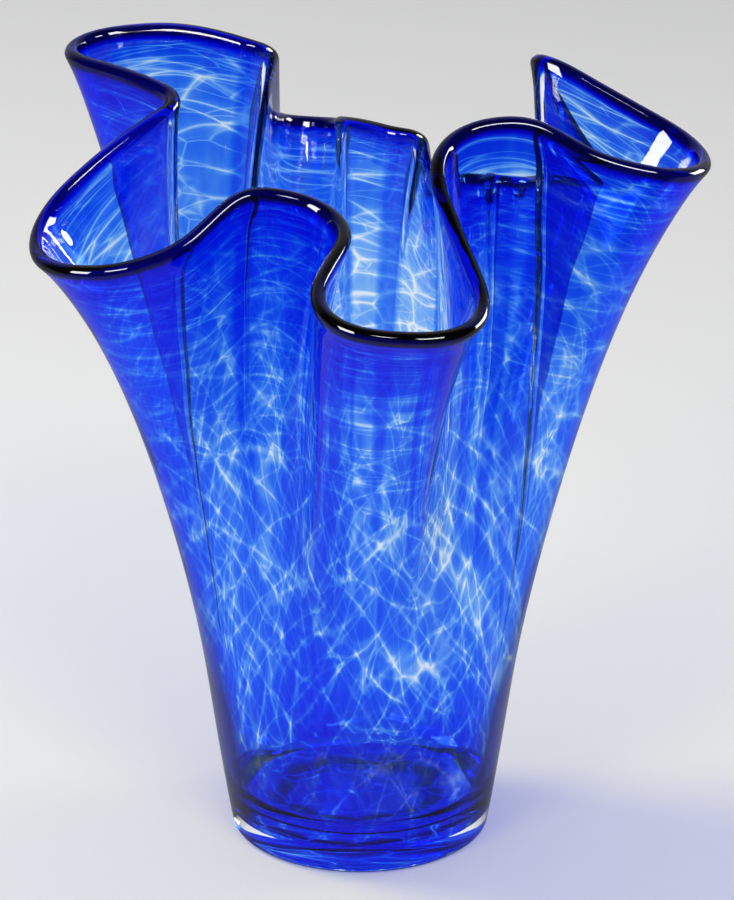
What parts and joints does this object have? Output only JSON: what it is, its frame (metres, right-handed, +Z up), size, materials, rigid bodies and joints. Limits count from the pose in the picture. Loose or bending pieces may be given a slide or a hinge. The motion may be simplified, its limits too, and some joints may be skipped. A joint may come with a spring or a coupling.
{
  "type": "glass vase",
  "caption": "Tall hand-blown vase in cobalt glass with a thick clear foot, a flared wall that folds into deep lobes, and a wavy rounded lip.",
  "frame": {"origin": "centre of the flat face of the foot that stands on the table", "axes": "+Z up out of the mouth, along the foot's axis; -Y towards the lowest front lobe; +X towards the longest side lobe"},
  "size_m": [0.2339, 0.2171, 0.294],
  "materials": {
    "cobalt_glass": "polished, streaked with pale threads"
  },
  "bodies": {
    "root": {"vase": "cobalt_glass"}
  },
  "joints": []
}
